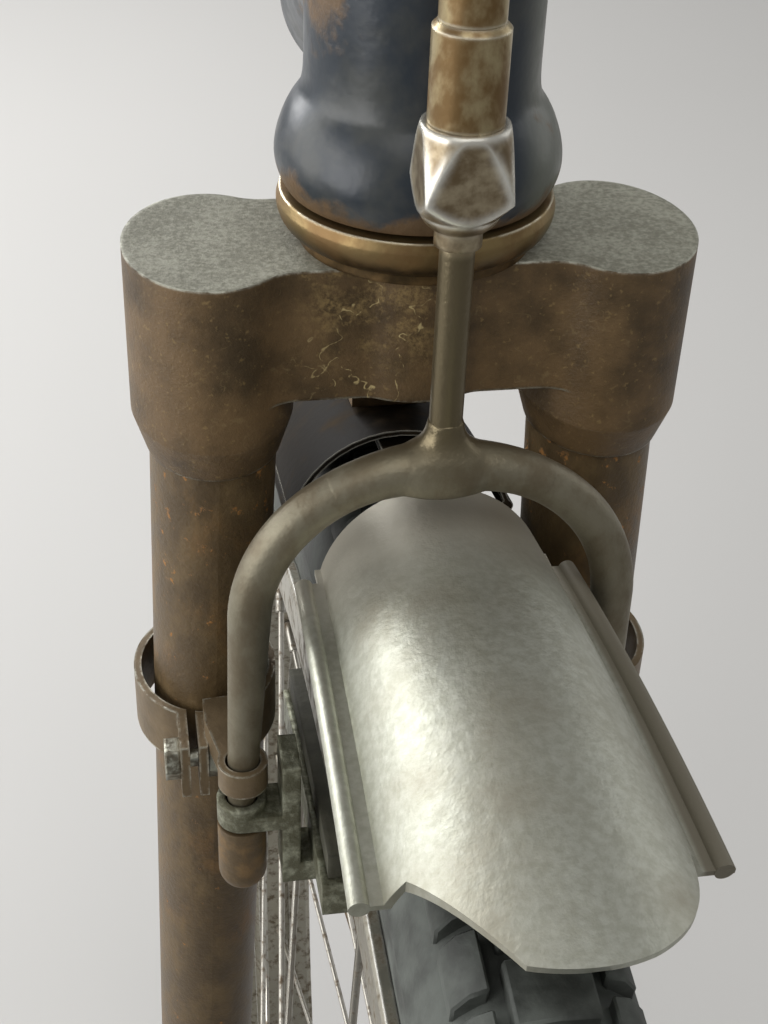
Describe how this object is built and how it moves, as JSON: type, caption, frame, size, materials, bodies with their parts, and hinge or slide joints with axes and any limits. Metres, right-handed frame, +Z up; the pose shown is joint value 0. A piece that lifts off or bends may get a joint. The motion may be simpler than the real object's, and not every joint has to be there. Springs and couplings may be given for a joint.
{
  "type": "bicycle front fork with wheel and rod brake",
  "caption": "Front end of a vintage roadster bicycle: head tube, fork, stirrup rod brake, split front mudguard and spoked wheel.",
  "frame": {"origin": "centre of the down tube socket's mouth on the lower head lug", "axes": "+Z up, +X the bicycle's left, -Y the way it rides; the steering axis leans back 21 degrees from +Z"},
  "size_m": [0.132, 0.7195, 0.896],
  "materials": {
    "frame_enamel": "old glossy blue-black enamel with rust spots",
    "bearing_steel": "dark oiled steel",
    "worn_brass": "worn brown brass with a bright edge",
    "dull_nickel": "dull nickel plate",
    "cast_crown": "rough casting, brown, with worn bright edges",
    "rusty_enamel": "dark brown enamel with rust and ochre specks",
    "bare_guard": "bare grey sheet steel with fine dents",
    "brown_guard": "dark brown enamel",
    "rusty_steel": "rusty steel",
    "clip_steel": "brown rusty steel with rubbed bright edges",
    "satin_steel": "satin grey-brown steel",
    "bright_nickel": "worn bright nickel",
    "brown_nickel": "worn brown nickel",
    "pad_rubber": "dull black rubber",
    "holder_steel": "greenish silver steel",
    "rim_nickel": "dull spotted nickel",
    "tyre_rubber": "worn black rubber"
  },
  "bodies": {
    "head": {"head_tube": "frame_enamel", "lower_head_lug": "frame_enamel", "upper_head_lug": "frame_enamel", "lower_ball_cup": "bearing_steel", "upper_ball_cup": "bearing_steel"},
    "fork": {"crown_race": "worn_brass", "steerer": "bearing_steel", "top_cone": "dull_nickel", "lock_nut": "dull_nickel", "fork_crown": "cast_crown", "fork_blade_left": "rusty_enamel", "fork_blade_right": "rusty_enamel", "fork_end_left": "rusty_enamel", "fork_end_right": "rusty_enamel", "front_axle": "bearing_steel", "hub_cone_left": "bearing_steel", "hub_cone_right": "bearing_steel", "axle_nut_left": "dull_nickel", "axle_nut_right": "dull_nickel", "front_mudguard": "bare_guard", "rear_mudguard": "brown_guard", "mudguard_strip": "rusty_steel", "mudguard_bracket": "rusty_steel", "bracket_bolt": "rusty_steel", "mudguard_stay": "rusty_steel", "stay_bolt_left": "rusty_steel", "stay_bolt_right": "rusty_steel", "guide_clip_left": "clip_steel", "guide_clip_right": "clip_steel", "clip_bolt_left": "clip_steel", "clip_bolt_right": "clip_steel"},
    "brake": {"brake_stirrup": "satin_steel", "rod_nut": "bright_nickel", "rod_sleeve": "brown_nickel", "brake_rod": "brown_nickel", "brake_pad_left": "pad_rubber", "brake_pad_right": "pad_rubber", "shoe_holder_left": "holder_steel", "shoe_holder_right": "holder_steel", "stirrup_foot_left": "rusty_steel", "stirrup_foot_right": "rusty_steel"},
    "wheel": {"hub_shell": "dull_nickel", "rim": "rim_nickel", "tyre": "tyre_rubber", "spokes_left": "dull_nickel", "spokes_right": "dull_nickel"}
  },
  "joints": [
    {"name": "steering", "type": "hinge", "parent": "head", "child": "fork", "pos_m": [0, -0.05388, -0.00503], "axis": [0, 0.3584, 0.9336], "range_deg": [-60, 60]},
    {"name": "wheel_spin", "type": "hinge", "parent": "fork", "child": "wheel", "pos_m": [0, -0.25324, -0.35696], "axis": [1, 0, 0], "continuous": true},
    {"name": "brake_lift", "type": "slide", "parent": "fork", "child": "brake", "axis": [0, 0.3584, 0.9336], "range_m": [0, 0.0025]}
  ]
}
